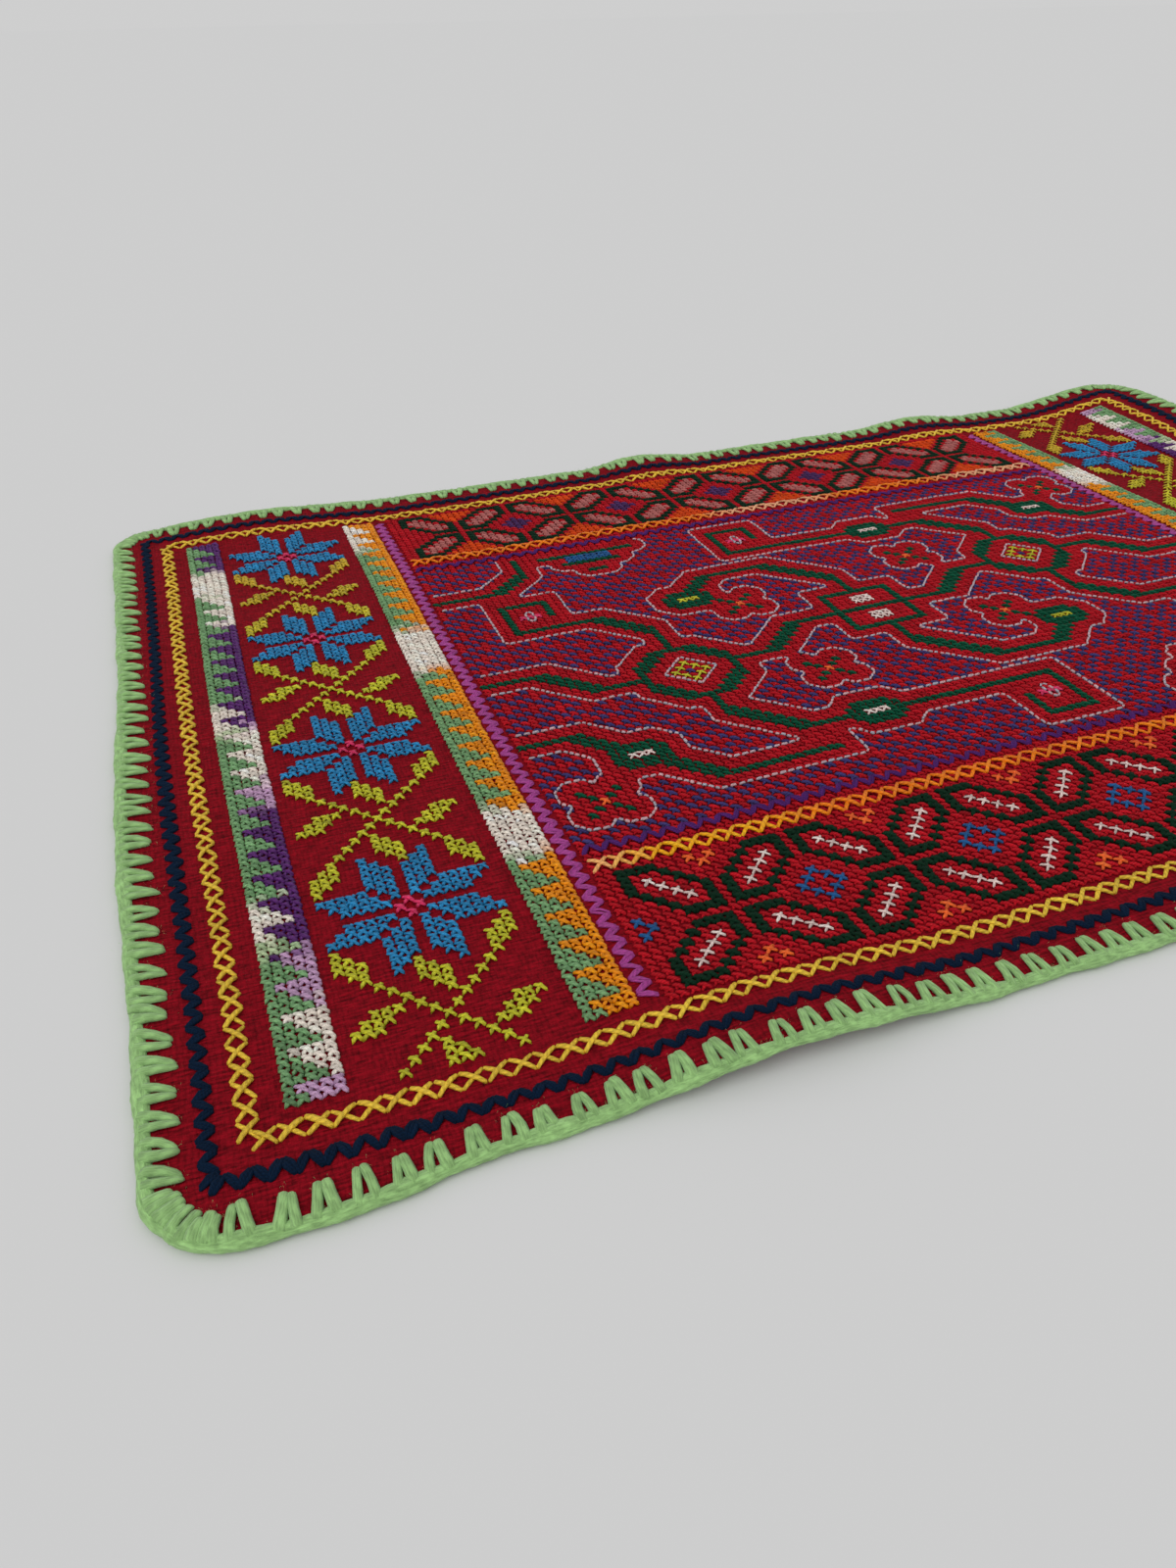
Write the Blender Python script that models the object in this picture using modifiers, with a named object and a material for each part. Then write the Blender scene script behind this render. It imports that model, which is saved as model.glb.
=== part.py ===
"""Embroidered ceremonial cloth: a small rectangular cloth lying flat, with an uneven wool-bound rim.

Two pieces: the woven cloth, one thin sheet whose rim lifts in a few low waves, and the wool edging that is
worked over its cut edge. Metres, +Z up, the cloth's long side along X, its resting face on Z = 0.
"""
import math

import bpy
import numpy as np

# ---- driving sizes, in metres --------------------------------------------------------------------------
WIDTH = 0.5170             # cut width of the cloth, along X
DEPTH = 0.3510             # cut depth of the cloth, along Y
THICKNESS = 0.0013         # woven ground with its embroidery
CORNER_RADIUS = 0.015

CLEARANCE = 0.0003         # gap between the cloth and the wool that wraps its edge
LIP_THICKNESS = 0.0006     # wool above and below the cloth
LIP_REACH = 0.0024         # how far the wool reaches in over the cloth
NOSE = 0.0020              # how far the wool stands out past the cut edge
RIM_RISE = LIP_THICKNESS + CLEARANCE     # the wool underneath holds the cut edge this high
RIM_FADE = 0.022           # the cloth is down on the surface this far in from its edge

GRID_COLUMNS = 42
GRID_ROWS = 28
EDGE_CROWDING = 0.6        # 0 spaces the grid evenly, 1 crowds it at the rim

# Low waves of the rim. "place" runs along the side from its left or near end; "half" is half the wave's
# length, "lift" its height at the edge, "reach" how far it runs in towards the middle.
WAVES = (
    # side,    place,  half,   lift,   reach
    ("near",  0.132,  0.052,  0.0046, 0.046),
    ("near",  0.402,  0.060,  0.0024, 0.040),
    ("far",   0.056,  0.060,  0.0030, 0.046),
    ("far",   0.238,  0.030,  0.0032, 0.036),
    ("far",   0.390,  0.034,  0.0030, 0.036),
    ("far",   0.500,  0.052,  0.0055, 0.055),
    ("right", 0.316,  0.072,  0.0070, 0.055),
    ("right", 0.110,  0.060,  0.0020, 0.040),
)

# Places where the hand-cut outline swells out in plan, with the same columns ("out" for "lift").
SWELLS = (
    # side,    place,  half,   out,    reach
    ("near",  0.031,  0.036,  0.0028, 0.016),
    ("near",  0.300,  0.110,  0.0012, 0.016),
    ("left",  0.135,  0.095,  0.0022, 0.014),
    ("right", 0.300,  0.100,  0.0030, 0.016),
    ("far",   0.310,  0.090,  0.0010, 0.016),
)

RED = (0.24, 0.006, 0.012, 1.0)
GREEN = (0.22, 0.48, 0.11, 1.0)


# ---- the shape of the cloth ----------------------------------------------------------------------------
def bump(distance, half):
    """A smooth hump of one at distance zero, exactly zero from half on."""
    t = np.clip(np.abs(distance) / half, 0.0, 1.0)
    return (1.0 - t * t) ** 2


def side_distances(x, y):
    """For each side: the place along it, and the distance in from it."""
    right = WIDTH / 2 - x
    far = DEPTH / 2 - y
    left = WIDTH / 2 + x
    near = DEPTH / 2 + y
    return {
        "near": (left, near, (0.0, -1.0)),
        "far": (left, far, (0.0, 1.0)),
        "left": (near, left, (-1.0, 0.0)),
        "right": (near, right, (1.0, 0.0)),
    }


def round_corners(x, y):
    """Draw the square corners in to quarter circles, leaving the rest of the cloth as it is."""
    a = np.clip((np.abs(x) - (WIDTH / 2 - CORNER_RADIUS)) / CORNER_RADIUS, 0.0, 1.0)
    b = np.clip((np.abs(y) - (DEPTH / 2 - CORNER_RADIUS)) / CORNER_RADIUS, 0.0, 1.0)
    drawn_a = a * (1.0 - np.sqrt(1.0 - b * b / 2))
    drawn_b = b * (1.0 - np.sqrt(1.0 - a * a / 2))
    return x - np.sign(x) * drawn_a * CORNER_RADIUS, y - np.sign(y) * drawn_b * CORNER_RADIUS


def swell(x, y):
    """Push the outline out where the cut wanders."""
    sides = side_distances(x, y)
    out_x = x.copy()
    out_y = y.copy()
    for side, place, half, out, reach in SWELLS:
        along, inward, (nx, ny) = sides[side]
        push = out * bump(along - place, half) * bump(inward, reach)
        out_x += nx * push
        out_y += ny * push
    return out_x, out_y


def lift(x, y):
    """Height of the cloth's underside: the rim's waves, over the small rise that the wool gives."""
    sides = side_distances(x, y)
    squares = np.zeros_like(x)
    for side, place, half, height, reach in WAVES:
        along, inward, _ = sides[side]
        squares += (height * bump(along - place, half) * bump(np.maximum(inward, 0.0), reach)) ** 2
    inset_x = np.maximum(np.abs(x) - (WIDTH / 2 - RIM_FADE), 0.0)
    inset_y = np.maximum(np.abs(y) - (DEPTH / 2 - RIM_FADE), 0.0)
    inward = np.maximum(RIM_FADE - np.hypot(inset_x, inset_y), 0.0)
    return np.sqrt(squares) + RIM_RISE * bump(inward, RIM_FADE)


def on_cloth(x, y):
    """Plan position and underside height of a point of the flat, square-cornered cloth."""
    x, y = round_corners(x, y)
    height = lift(x, y)
    x, y = swell(x, y)
    return x, y, height


def crowd(fraction):
    """Turn -1..1 into -1..1 with the values drawn towards the ends."""
    return (1.0 - EDGE_CROWDING) * fraction + EDGE_CROWDING * np.sin(fraction * math.pi / 2)


def rim_points():
    """The cut edge, once round from the near left corner, at the cloth's underside."""
    column = crowd(np.linspace(-1.0, 1.0, GRID_COLUMNS + 1)) * WIDTH / 2
    row = crowd(np.linspace(-1.0, 1.0, GRID_ROWS + 1)) * DEPTH / 2
    right = np.full(GRID_ROWS, WIDTH / 2)
    far = np.full(GRID_COLUMNS, DEPTH / 2)
    x = np.concatenate([column[:-1], right, column[:0:-1], -right])
    y = np.concatenate([-far, row[:-1], far, row[:0:-1]])
    return on_cloth(x, y)


def outline_centre():
    """Middle of the swollen outline, which becomes the part's origin in plan."""
    x, y, _ = rim_points()
    return (x.min() + x.max()) / 2, (y.min() + y.max()) / 2


# ---- the pieces ----------------------------------------------------------------------------------------
def make_material(name, colour, roughness):
    material = bpy.data.materials.new(name)
    material.use_nodes = True
    shader = material.node_tree.nodes["Principled BSDF"]
    shader.inputs["Base Color"].default_value = colour
    shader.inputs["Roughness"].default_value = roughness
    shader.inputs["Metallic"].default_value = 0.0
    return material


def make_cloth(parts, centre):
    """The woven cloth: a grid laid on the cloth's shape, thickened upwards."""
    bpy.ops.mesh.primitive_grid_add(x_subdivisions=GRID_COLUMNS, y_subdivisions=GRID_ROWS, size=2.0)
    cloth = bpy.context.object
    cloth.name = cloth.data.name = "cloth"
    mesh = cloth.data
    points = np.empty(len(mesh.vertices) * 3)
    mesh.vertices.foreach_get("co", points)
    points = points.reshape(-1, 3)
    x, y, height = on_cloth(crowd(points[:, 0]) * WIDTH / 2, crowd(points[:, 1]) * DEPTH / 2)
    points = np.column_stack([x - centre[0], y - centre[1], height])
    mesh.vertices.foreach_set("co", points.ravel())
    mesh.update()
    mesh.shade_smooth()
    mesh.materials.append(make_material("woven cotton", RED, 0.9))

    solidify = cloth.modifiers.new("thickness", "SOLIDIFY")
    solidify.thickness = THICKNESS
    solidify.offset = 1.0
    move_to(parts, cloth)


def make_profile(guides):
    """Section of the wool: a C that takes the cut edge in its mouth, rounded outside, level underneath."""
    slot = THICKNESS / 2 + CLEARANCE
    outer = slot + LIP_THICKNESS
    outline = (
        # outward,    up
        (-LIP_REACH,  slot),
        (-LIP_REACH,  outer * 0.84),
        (-LIP_REACH * 0.4, outer),
        (NOSE * 0.5,  outer * 0.9),
        (NOSE,        outer * 0.15),
        (NOSE * 0.8,  -outer * 0.7),
        (NOSE * 0.3,  -outer),
        (-LIP_REACH,  -outer),
        (-LIP_REACH,  -slot),
        (CLEARANCE,   -slot),
        (CLEARANCE,   slot),
    )
    data = bpy.data.curves.new("edging_section", "CURVE")
    data.dimensions = "2D"
    data.fill_mode = "NONE"
    spline = data.splines.new("POLY")
    spline.points.add(len(outline) - 1)
    for point, (outward, up) in zip(spline.points, outline):
        point.co = (outward, up, 0.0, 1.0)
    spline.use_cyclic_u = True
    section = bpy.data.objects.new("edging_section", data)
    section.hide_render = True
    section.display_type = "WIRE"
    guides.objects.link(section)
    return section


def make_edging(parts, guides, centre):
    """The wool edging: its section carried once round the cut edge, at the cloth's middle height."""
    x, y, height = rim_points()
    data = bpy.data.curves.new("edging", "CURVE")
    data.dimensions = "3D"
    data.twist_mode = "Z_UP"
    data.bevel_mode = "OBJECT"
    data.bevel_object = make_profile(guides)
    spline = data.splines.new("POLY")
    spline.points.add(len(x) - 1)
    for point, px, py, pz in zip(spline.points, x - centre[0], y - centre[1], height + THICKNESS / 2):
        point.co = (px, py, pz, 1.0)
    spline.use_cyclic_u = True
    spline.use_smooth = True
    edging = bpy.data.objects.new("edging", data)
    data.materials.append(make_material("green wool", GREEN, 0.95))
    parts.objects.link(edging)


def move_to(collection, item):
    for holder in list(item.users_collection):
        holder.objects.unlink(item)
    collection.objects.link(item)


def main():
    for item in list(bpy.data.objects):
        bpy.data.objects.remove(item, do_unlink=True)
    parts = bpy.data.collections.new("ceremonial_cloth")
    guides = bpy.data.collections.new("guides")
    bpy.context.scene.collection.children.link(parts)
    bpy.context.scene.collection.children.link(guides)
    centre = outline_centre()
    make_cloth(parts, centre)
    make_edging(parts, guides, centre)


main()
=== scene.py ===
import math
from functools import partial

import bpy
import numpy as np
from mathutils import Matrix, Vector


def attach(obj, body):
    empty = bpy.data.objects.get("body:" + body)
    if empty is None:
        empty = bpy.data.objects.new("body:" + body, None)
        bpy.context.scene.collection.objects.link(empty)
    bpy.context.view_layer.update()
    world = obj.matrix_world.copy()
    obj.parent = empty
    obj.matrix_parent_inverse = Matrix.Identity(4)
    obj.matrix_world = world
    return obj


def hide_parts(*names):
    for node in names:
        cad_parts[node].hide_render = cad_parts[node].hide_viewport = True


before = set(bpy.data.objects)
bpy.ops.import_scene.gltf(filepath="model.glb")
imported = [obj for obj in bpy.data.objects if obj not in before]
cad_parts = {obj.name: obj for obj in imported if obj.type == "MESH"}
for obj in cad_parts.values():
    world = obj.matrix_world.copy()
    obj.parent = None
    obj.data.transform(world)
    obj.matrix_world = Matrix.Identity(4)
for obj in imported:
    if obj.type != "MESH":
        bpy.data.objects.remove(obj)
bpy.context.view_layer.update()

random = np.random.default_rng(11)
mm = 0.001

# the cloth's shape, on which everything is laid; metres unless a line says mm
clothShape = {
    "width": 0.517,          # cut size, without the wool edging
    "depth": 0.351,
    "nose": 0.0018,          # wool past the cut edge
    "cornerRadius": 0.015,
    "rimRise": 0.0009,       # the wool underneath holds the cut edge this high
    "rimFade": 0.022,
    "groundTop": 0.85,       # mm above the underside from which stitches rise, just over the woven ground
    "pucker": 0.16,          # mm, slow unevenness that the stitches pull into the cloth
    "outlineSamples": 4000,  # points round the edge that give its middle
    "edgeSamples": 7000,     # and those that give the legs their places
}

# low waves of the rim: side, place along it, half length, lift, reach inwards
rimWaves = (
    ("near", 0.132, 0.052, 0.0046, 0.046),
    ("near", 0.402, 0.060, 0.0024, 0.040),
    ("far", 0.056, 0.060, 0.0030, 0.046),
    ("far", 0.238, 0.030, 0.0032, 0.036),
    ("far", 0.390, 0.034, 0.0030, 0.036),
    ("far", 0.500, 0.052, 0.0055, 0.055),
    ("right", 0.316, 0.072, 0.0070, 0.055),
    ("right", 0.110, 0.060, 0.0020, 0.040),
)

# places where the outline swells out in plan: side, place, half length, how far out, reach inwards
rimSwells = (
    ("near", 0.031, 0.036, 0.0028, 0.016),
    ("near", 0.300, 0.110, 0.0012, 0.016),
    ("left", 0.135, 0.095, 0.0022, 0.014),
    ("right", 0.300, 0.100, 0.0030, 0.016),
    ("far", 0.310, 0.090, 0.0010, 0.016),
)

# the hand's slow drift off the counted line: height in mm, mm of u and of v for each radian, start
handDrift = {
    "u": ((0.45, np.inf, 41.0, 0.6), (0.25, 23.0, 57.0, 0.0)),
    "v": ((0.40, 52.0, np.inf, 2.1), (0.25, 19.0, 31.0, 0.0)),
}


def hump(distance, half):
    # one at distance zero, falling as one minus t squared, squared, to nothing at half
    t = np.clip(np.abs(distance) / half, 0.0, 1.0)
    return (1.0 - t * t) ** 2


def sideDistances(x, y):
    # for each side: the place along it, the distance in from it, and its outward direction
    halfWidth = clothShape["width"] / 2
    halfDepth = clothShape["depth"] / 2
    return {
        "near": (halfWidth + x, halfDepth + y, (0.0, -1.0)),
        "far": (halfWidth + x, halfDepth - y, (0.0, 1.0)),
        "left": (halfDepth + y, halfWidth + x, (-1.0, 0.0)),
        "right": (halfDepth + y, halfWidth - x, (1.0, 0.0)),
    }


def roundCorners(x, y):
    # inside each corner square, a and b run 0 to 1; a becomes a times the root of 1 - b*b/2, and b likewise
    radius = clothShape["cornerRadius"]
    a = np.clip((np.abs(x) - (clothShape["width"] / 2 - radius)) / radius, 0.0, 1.0)
    b = np.clip((np.abs(y) - (clothShape["depth"] / 2 - radius)) / radius, 0.0, 1.0)
    drawnA = a * (1.0 - np.sqrt(1.0 - b * b / 2))
    drawnB = b * (1.0 - np.sqrt(1.0 - a * a / 2))
    return x - np.sign(x) * drawnA * radius, y - np.sign(y) * drawnB * radius


def swell(x, y):
    # push the outline out by each swell's hump along the side times its hump inwards
    sides = sideDistances(x, y)
    outX, outY = x + 0.0, y + 0.0
    for side, place, half, out, reach in rimSwells:
        along, inward, (nx, ny) = sides[side]
        push = out * hump(along - place, half) * hump(np.maximum(inward, 0.0), reach)
        outX = outX + nx * push
        outY = outY + ny * push
    return outX, outY


def liftOf(x, y):
    # underside height: the root of the summed squares of the waves, plus the rise that the wool gives it
    sides = sideDistances(x, y)
    squares = np.zeros_like(x)
    for side, place, half, height, reach in rimWaves:
        along, inward, _ = sides[side]
        squares = squares + (height * hump(along - place, half) * hump(np.maximum(inward, 0.0), reach)) ** 2
    fade = clothShape["rimFade"]
    insetX = np.maximum(np.abs(x) - (clothShape["width"] / 2 - fade), 0.0)
    insetY = np.maximum(np.abs(y) - (clothShape["depth"] / 2 - fade), 0.0)
    inward = np.maximum(fade - np.hypot(insetX, insetY), 0.0)
    return np.sqrt(squares) + clothShape["rimRise"] * hump(inward, fade)


def squareRim(count):
    # points along the square-cornered cut edge, once round from the near left corner
    halfWidth, halfDepth = clothShape["width"] / 2, clothShape["depth"] / 2
    corners = np.array([(-halfWidth, -halfDepth), (halfWidth, -halfDepth), (halfWidth, halfDepth),
                        (-halfWidth, halfDepth), (-halfWidth, -halfDepth)])
    lengths = np.concatenate([[0.0], np.cumsum(np.hypot(*np.diff(corners, axis=0).T))])
    s = np.linspace(0.0, lengths[-1], count, endpoint=False)
    return np.interp(s, lengths, corners[:, 0]), np.interp(s, lengths, corners[:, 1])


def outlineCentre():
    # the middle of the box round the rounded and swelled outline
    x, y = swell(*roundCorners(*squareRim(clothShape["outlineSamples"])))
    return (x.min() + x.max()) / 2, (y.min() + y.max()) / 2


centreX, centreY = outlineCentre()
fullWidth = (clothShape["width"] + 2 * clothShape["nose"]) / mm
fullDepth = (clothShape["depth"] + 2 * clothShape["nose"]) / mm
edgeLength = 2 * (clothShape["width"] + clothShape["depth"]) / mm


def pucker(u, v):
    # height in mm of two sine waves, each bent by a longer one across it, lifted so that none is below zero
    waves = np.sin(u / 13.0 + 1.7 * np.sin(v / 29.0)) + np.sin(v / 11.0 + 1.3 * np.sin(u / 37.0) + 2.0)
    return clothShape["pucker"] * (2.0 + waves) / 2


def layOn(u, v, height):
    # u and v in mm from the near left corner of the cloth with its wool, height in mm above its underside
    x = (u - fullWidth / 2) * mm
    y = (v - fullDepth / 2) * mm
    lift = liftOf(x, y)
    x, y = swell(x, y)
    z = lift + (height + pucker(u, v)) * mm
    return np.stack([x - centreX, y - centreY, z], axis=-1)


def wander(u, v):
    # each way, places move by a sum of slanting sine waves
    def drift(waves):
        return sum(height * np.sin(u / overU + v / overV + start) for height, overU, overV, start in waves)
    return u + drift(handDrift["u"]), v + drift(handDrift["v"])


def dye(red, green, blue):
    # a display colour of 0 to 255 turned linear
    value = np.array([red, green, blue]) / 255.0
    return np.where(value <= 0.04045, value / 12.92, ((value + 0.055) / 1.055) ** 2.4)


# the dyes of the threads
threads = {name: dye(*shade) for name, shade in {
    "groundRed": (134, 8, 24), "red": (188, 20, 34), "speckleBlue": (66, 59, 114), "navy": (2, 27, 52),
    "yellow": (240, 200, 60), "amber": (255, 180, 10), "deepAmber": (246, 130, 0), "peach": (240, 176, 130),
    "magenta": (178, 68, 152), "purple": (82, 36, 108), "deepPurple": (92, 34, 112),
    "lilac": (206, 164, 202), "cream": (255, 242, 228), "sage": (124, 170, 116), "paleSage": (186, 204, 160),
    "orange": (252, 152, 0), "blue": (36, 140, 196), "deepBlue": (18, 90, 150), "pink": (228, 52, 104),
    "lime": (206, 204, 44), "gold": (212, 178, 44), "leafGreen": (6, 44, 26), "keneGreen": (4, 84, 58),
    "white": (246, 222, 214), "paleBlue": (176, 182, 196), "shell": (226, 178, 182), "flame": (255, 108, 40),
    "ember": (226, 76, 22), "plum": (80, 48, 98), "rose": (190, 112, 108), "wool": (150, 192, 122),
}.items()}


def meshFrom(name, points, loopVertices, loopStarts, colours=None, loopUv=None):
    # a mesh from whole arrays: all faces' corners in one row, and the place in it where each face starts
    def row(values, kind=np.float32):
        return np.ascontiguousarray(values, dtype=kind).ravel()
    mesh = bpy.data.meshes.new(name)
    mesh.vertices.add(len(points))
    mesh.loops.add(len(loopVertices))
    mesh.polygons.add(len(loopStarts))
    mesh.vertices.foreach_set("co", row(points))
    mesh.loops.foreach_set("vertex_index", row(loopVertices, np.int32))
    mesh.polygons.foreach_set("loop_start", row(loopStarts, np.int32))
    if loopUv is not None:
        mesh.uv_layers.new(name="threadUv").data.foreach_set("uv", row(loopUv))
    mesh.update(calc_edges=True)
    if colours is not None:
        rgba = np.concatenate([colours, np.ones((len(colours), 1))], axis=1)
        layer = mesh.color_attributes.new("threadColour", "FLOAT_COLOR", "POINT")
        layer.data.foreach_set("color", row(rgba))
    mesh.shade_smooth()
    piece = bpy.data.objects.new(name, mesh)
    bpy.context.scene.collection.objects.link(piece)
    return piece


def spindle(sides, stations):
    # one stitch as a pattern of faces: a point, rings at the stations, a point; each face corner is a
    # vertex number, its place along the stitch and its share of the way round
    faces = []
    rings = len(stations)
    for side in range(sides):
        nextSide, middle = (side + 1) % sides, (side + 0.5) / sides
        here = [(ring * sides + side, stations[ring], side / sides) for ring in range(rings)]
        there = [(ring * sides + nextSide, stations[ring], (side + 1) / sides) for ring in range(rings)]
        faces.append([(rings * sides, 0.0, middle), there[0], here[0]])
        for ring in range(rings - 1):
            faces.append([here[ring], there[ring], there[ring + 1], here[ring + 1]])
        faces.append([here[-1], there[-1], (rings * sides + 1, 1.0, middle)])
    return faces


# what a stitch is like unless its own look says otherwise; lengths in mm
anyStitch = {
    "radius": 0.42,
    "flat": 0.85,            # height of the thread's section over its width
    "sides": 5,
    "stations": [0.06, 0.5, 0.94],   # where the section is placed, as shares of the length
    "over": 0.0,             # lifts the whole stitch
    "dive": 0.2,             # how far the ends sink in
    "rise": 0.40,            # how far the middle stands up
    "crown": 0.5,            # power of the sine of the arch; a low one is flat on top
    "taper": 0.75,           # thickness at the holes over that of the middle
    "waist": 0.6,            # power of the sine by which it thickens between them
    "root": 0.0,             # extra thickness at the first end, as a share
    "blunt": 0.0,            # share of the length over which the far tip is rounded off
    "curve": 0.0,            # sideways bow
    "bow": 0.05,             # spread of the sideways bow
    "jitter": 0.10,          # spread of the holes about their places
    "uneven": 0.08,          # spread of the thickness, as a share
    "unevenArch": 0.08,      # and of the height of the arch
    "tone": 0.10,            # spread of the brightness, as a share
    "span": 1.05,            # reach of a cross, in counting cells
}


def sewStitches(name, begin, end, colours, look):
    # A stitch is a thread from one hole to the next: its middle rises over the ground as a sine to a power,
    # its ends dive into it, it thins towards the holes and bows a little to one side.
    look = {**anyStitch, **look}
    count = len(begin)
    begin = begin + random.normal(0.0, look["jitter"], begin.shape)
    end = end + random.normal(0.0, look["jitter"], end.shape)
    along = end - begin
    length = np.hypot(along[:, 0], along[:, 1])
    across = np.stack([-along[:, 1], along[:, 0]], axis=1) / length[:, None]
    plump = random.normal(1.0, look["uneven"], count)[:, None]
    bow = random.normal(0.0, look["bow"], count)[:, None]
    arch = random.normal(1.0, look["unevenArch"], count)[:, None]
    curve, root, taper = (np.broadcast_to(look[key], count)[:, None] for key in ("curve", "root", "taper"))
    bow = bow + curve

    stations = np.array(look["stations"])
    sides = look["sides"]
    swellUp = np.sin(np.pi * stations)
    base = clothShape["groundTop"] + look["over"]
    middleHeight = base - look["dive"] + (look["dive"] + look["rise"]) * arch * swellUp ** look["crown"]
    radius = look["radius"] * plump * (taper + (1 - taper) * swellUp ** look["waist"])
    radius = radius * (1.0 + root * (1.0 - stations) ** 4)
    blunt = look["blunt"]
    if blunt:
        radius = radius * np.sqrt(1.0 - np.clip((stations - 1.0 + blunt) / blunt, 0.0, 1.0) ** 2)
    angle = 2 * np.pi * (np.arange(sides) + 0.5) / sides

    centre = begin[:, None, :] + along[:, None, :] * stations[None, :, None]
    centre = centre + across[:, None, :] * (bow * swellUp)[:, :, None]
    sideways = radius[:, :, None] * np.cos(angle)
    upwards = radius[:, :, None] * np.sin(angle) * look["flat"]
    u = centre[:, :, 0, None] + across[:, 0, None, None] * sideways
    v = centre[:, :, 1, None] + across[:, 1, None, None] * sideways
    height = middleHeight[:, :, None] + upwards
    tips = np.stack([begin, end], axis=1)
    u = np.concatenate([u.reshape(count, -1), tips[:, :, 0]], axis=1)
    v = np.concatenate([v.reshape(count, -1), tips[:, :, 1]], axis=1)
    height = np.concatenate([height.reshape(count, -1), np.full((count, 2), base - look["dive"])], axis=1)
    points = layOn(u, v, height).reshape(-1, 3)

    faces = spindle(sides, look["stations"])
    size = len(stations) * sides + 2
    pattern = np.array([corner for face in faces for corner in face])
    starts = np.cumsum([0] + [len(face) for face in faces[:-1]])
    step = len(pattern)
    stitch = np.arange(count)[:, None]
    loops = (pattern[None, :, 0].astype(int) + size * stitch).ravel()
    loopStarts = (starts[None, :] + step * stitch).ravel()
    offset = random.uniform(0.0, 5.0, count)   # mm, so that no two stitches show the same piece of thread
    uv = np.stack([pattern[None, :, 1] * length[:, None] + offset[:, None],
                   np.broadcast_to(pattern[None, :, 2], (count, step))], axis=-1).reshape(-1, 2)

    tone = random.normal(1.0, look["tone"], count)[:, None]
    colours = np.clip(np.broadcast_to(colours, (count, 3)) * tone, 0.0, 1.0)
    return meshFrom(name, points, loops, loopStarts, np.repeat(colours, size, axis=0), uv)


def joinPieces(name, pieces):
    # several runs of stitches in one thread become one piece
    with bpy.context.temp_override(active_object=pieces[0], selected_editable_objects=pieces):
        bpy.ops.object.join()
    pieces[0].name = pieces[0].data.name = name
    return pieces[0]


def fill(tree, socket, value):
    # an output of another node is linked to the socket, and anything else is set on it
    if isinstance(value, bpy.types.NodeSocket):
        tree.links.new(value, socket)
    else:
        socket.default_value = value


def addNode(tree, kind, settings, inputs):
    node = tree.nodes.new(kind)
    for key, value in settings.items():
        setattr(node, key, value)
    for key, value in inputs.items():
        fill(tree, node.inputs[key], value)
    return node


def calc(tree, operation, *values):
    # one math node
    return addNode(tree, "ShaderNodeMath", {"operation": operation}, dict(enumerate(values))).outputs[0]


def newGroup(name, inputs):
    # a shader node group with the named inputs, which puts out a colour and a height
    group = bpy.data.node_groups.new(name, "ShaderNodeTree")
    for label, kind, value in inputs:
        socket = group.interface.new_socket(label, in_out="INPUT", socket_type="NodeSocket" + kind)
        if value is not None:
            socket.default_value = value
    group.interface.new_socket("Colour", in_out="OUTPUT", socket_type="NodeSocketColor")
    group.interface.new_socket("Height", in_out="OUTPUT", socket_type="NodeSocketFloat")
    return group, group.nodes.new("NodeGroupInput").outputs


def giveOut(group, given, bright, height):
    # the given colour times its brightness, and the height
    outside = group.nodes.new("NodeGroupOutput")
    tint = addNode(group, "ShaderNodeVectorMath", {"operation": "SCALE"},
                   {0: given["Colour"], "Scale": bright})
    group.links.new(tint.outputs[0], outside.inputs["Colour"])
    group.links.new(height, outside.inputs["Height"])
    return group


def fibreNoise(group, place, stretch, roughness):
    # noise about zero on the place times the stretch, so that it is drawn out where the stretch is small
    drawn = addNode(group, "ShaderNodeVectorMath", {"operation": "MULTIPLY"}, {0: place, 1: stretch})
    noise = addNode(group, "ShaderNodeTexNoise", {"noise_dimensions": "2D"},
                    {"Scale": 1.0, "Detail": 3.0, "Roughness": roughness, "Vector": drawn.outputs[0]})
    return calc(group, "SUBTRACT", noise.outputs["Fac"], 0.5)


def makeStrandGroup():
    # Twisted thread: bright and dark bands wind round it, as the sine of the place along it over the lay
    # plus the share round it, times the plies, with fine fibre noise on top. The bands are the bump's height
    # and
    # also painted light: painted highlight on the plies' ridges and painted shade in the grooves between
    # them
    group, given = newGroup("twistedStrands", (
        ("Colour", "Color", None), ("Place", "Vector", None), ("Lay", "Float", 1.2),
        ("Plies", "Float", 2.0), ("Groove", "Float", 0.35), ("Fibre", "Float", 0.3),
        ("Streaks", "Vector", None)))
    work = partial(calc, group)
    place = addNode(group, "ShaderNodeSeparateXYZ", {}, {0: given["Place"]}).outputs
    wound = work("ADD", work("DIVIDE", place[0], given["Lay"]), place[1])
    wave = work("SINE", work("MULTIPLY", work("MULTIPLY", wound, given["Plies"]), 2 * math.pi))
    ridge = work("MULTIPLY_ADD", wave, 0.5, 0.5)
    fibre = work("MULTIPLY", fibreNoise(group, given["Place"], given["Streaks"], 0.65), given["Fibre"])
    height = work("ADD", work("MULTIPLY", ridge, given["Groove"]), fibre)
    # painted shade in the grooves and painted highlight on the ridges; the fibre noise adds the thread's own
    # tone
    shade = work("ADD", work("MULTIPLY", work("SUBTRACT", ridge, 0.6), given["Groove"]), fibre)
    return giveOut(group, given, work("ADD", shade, 1.0), height)


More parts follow.
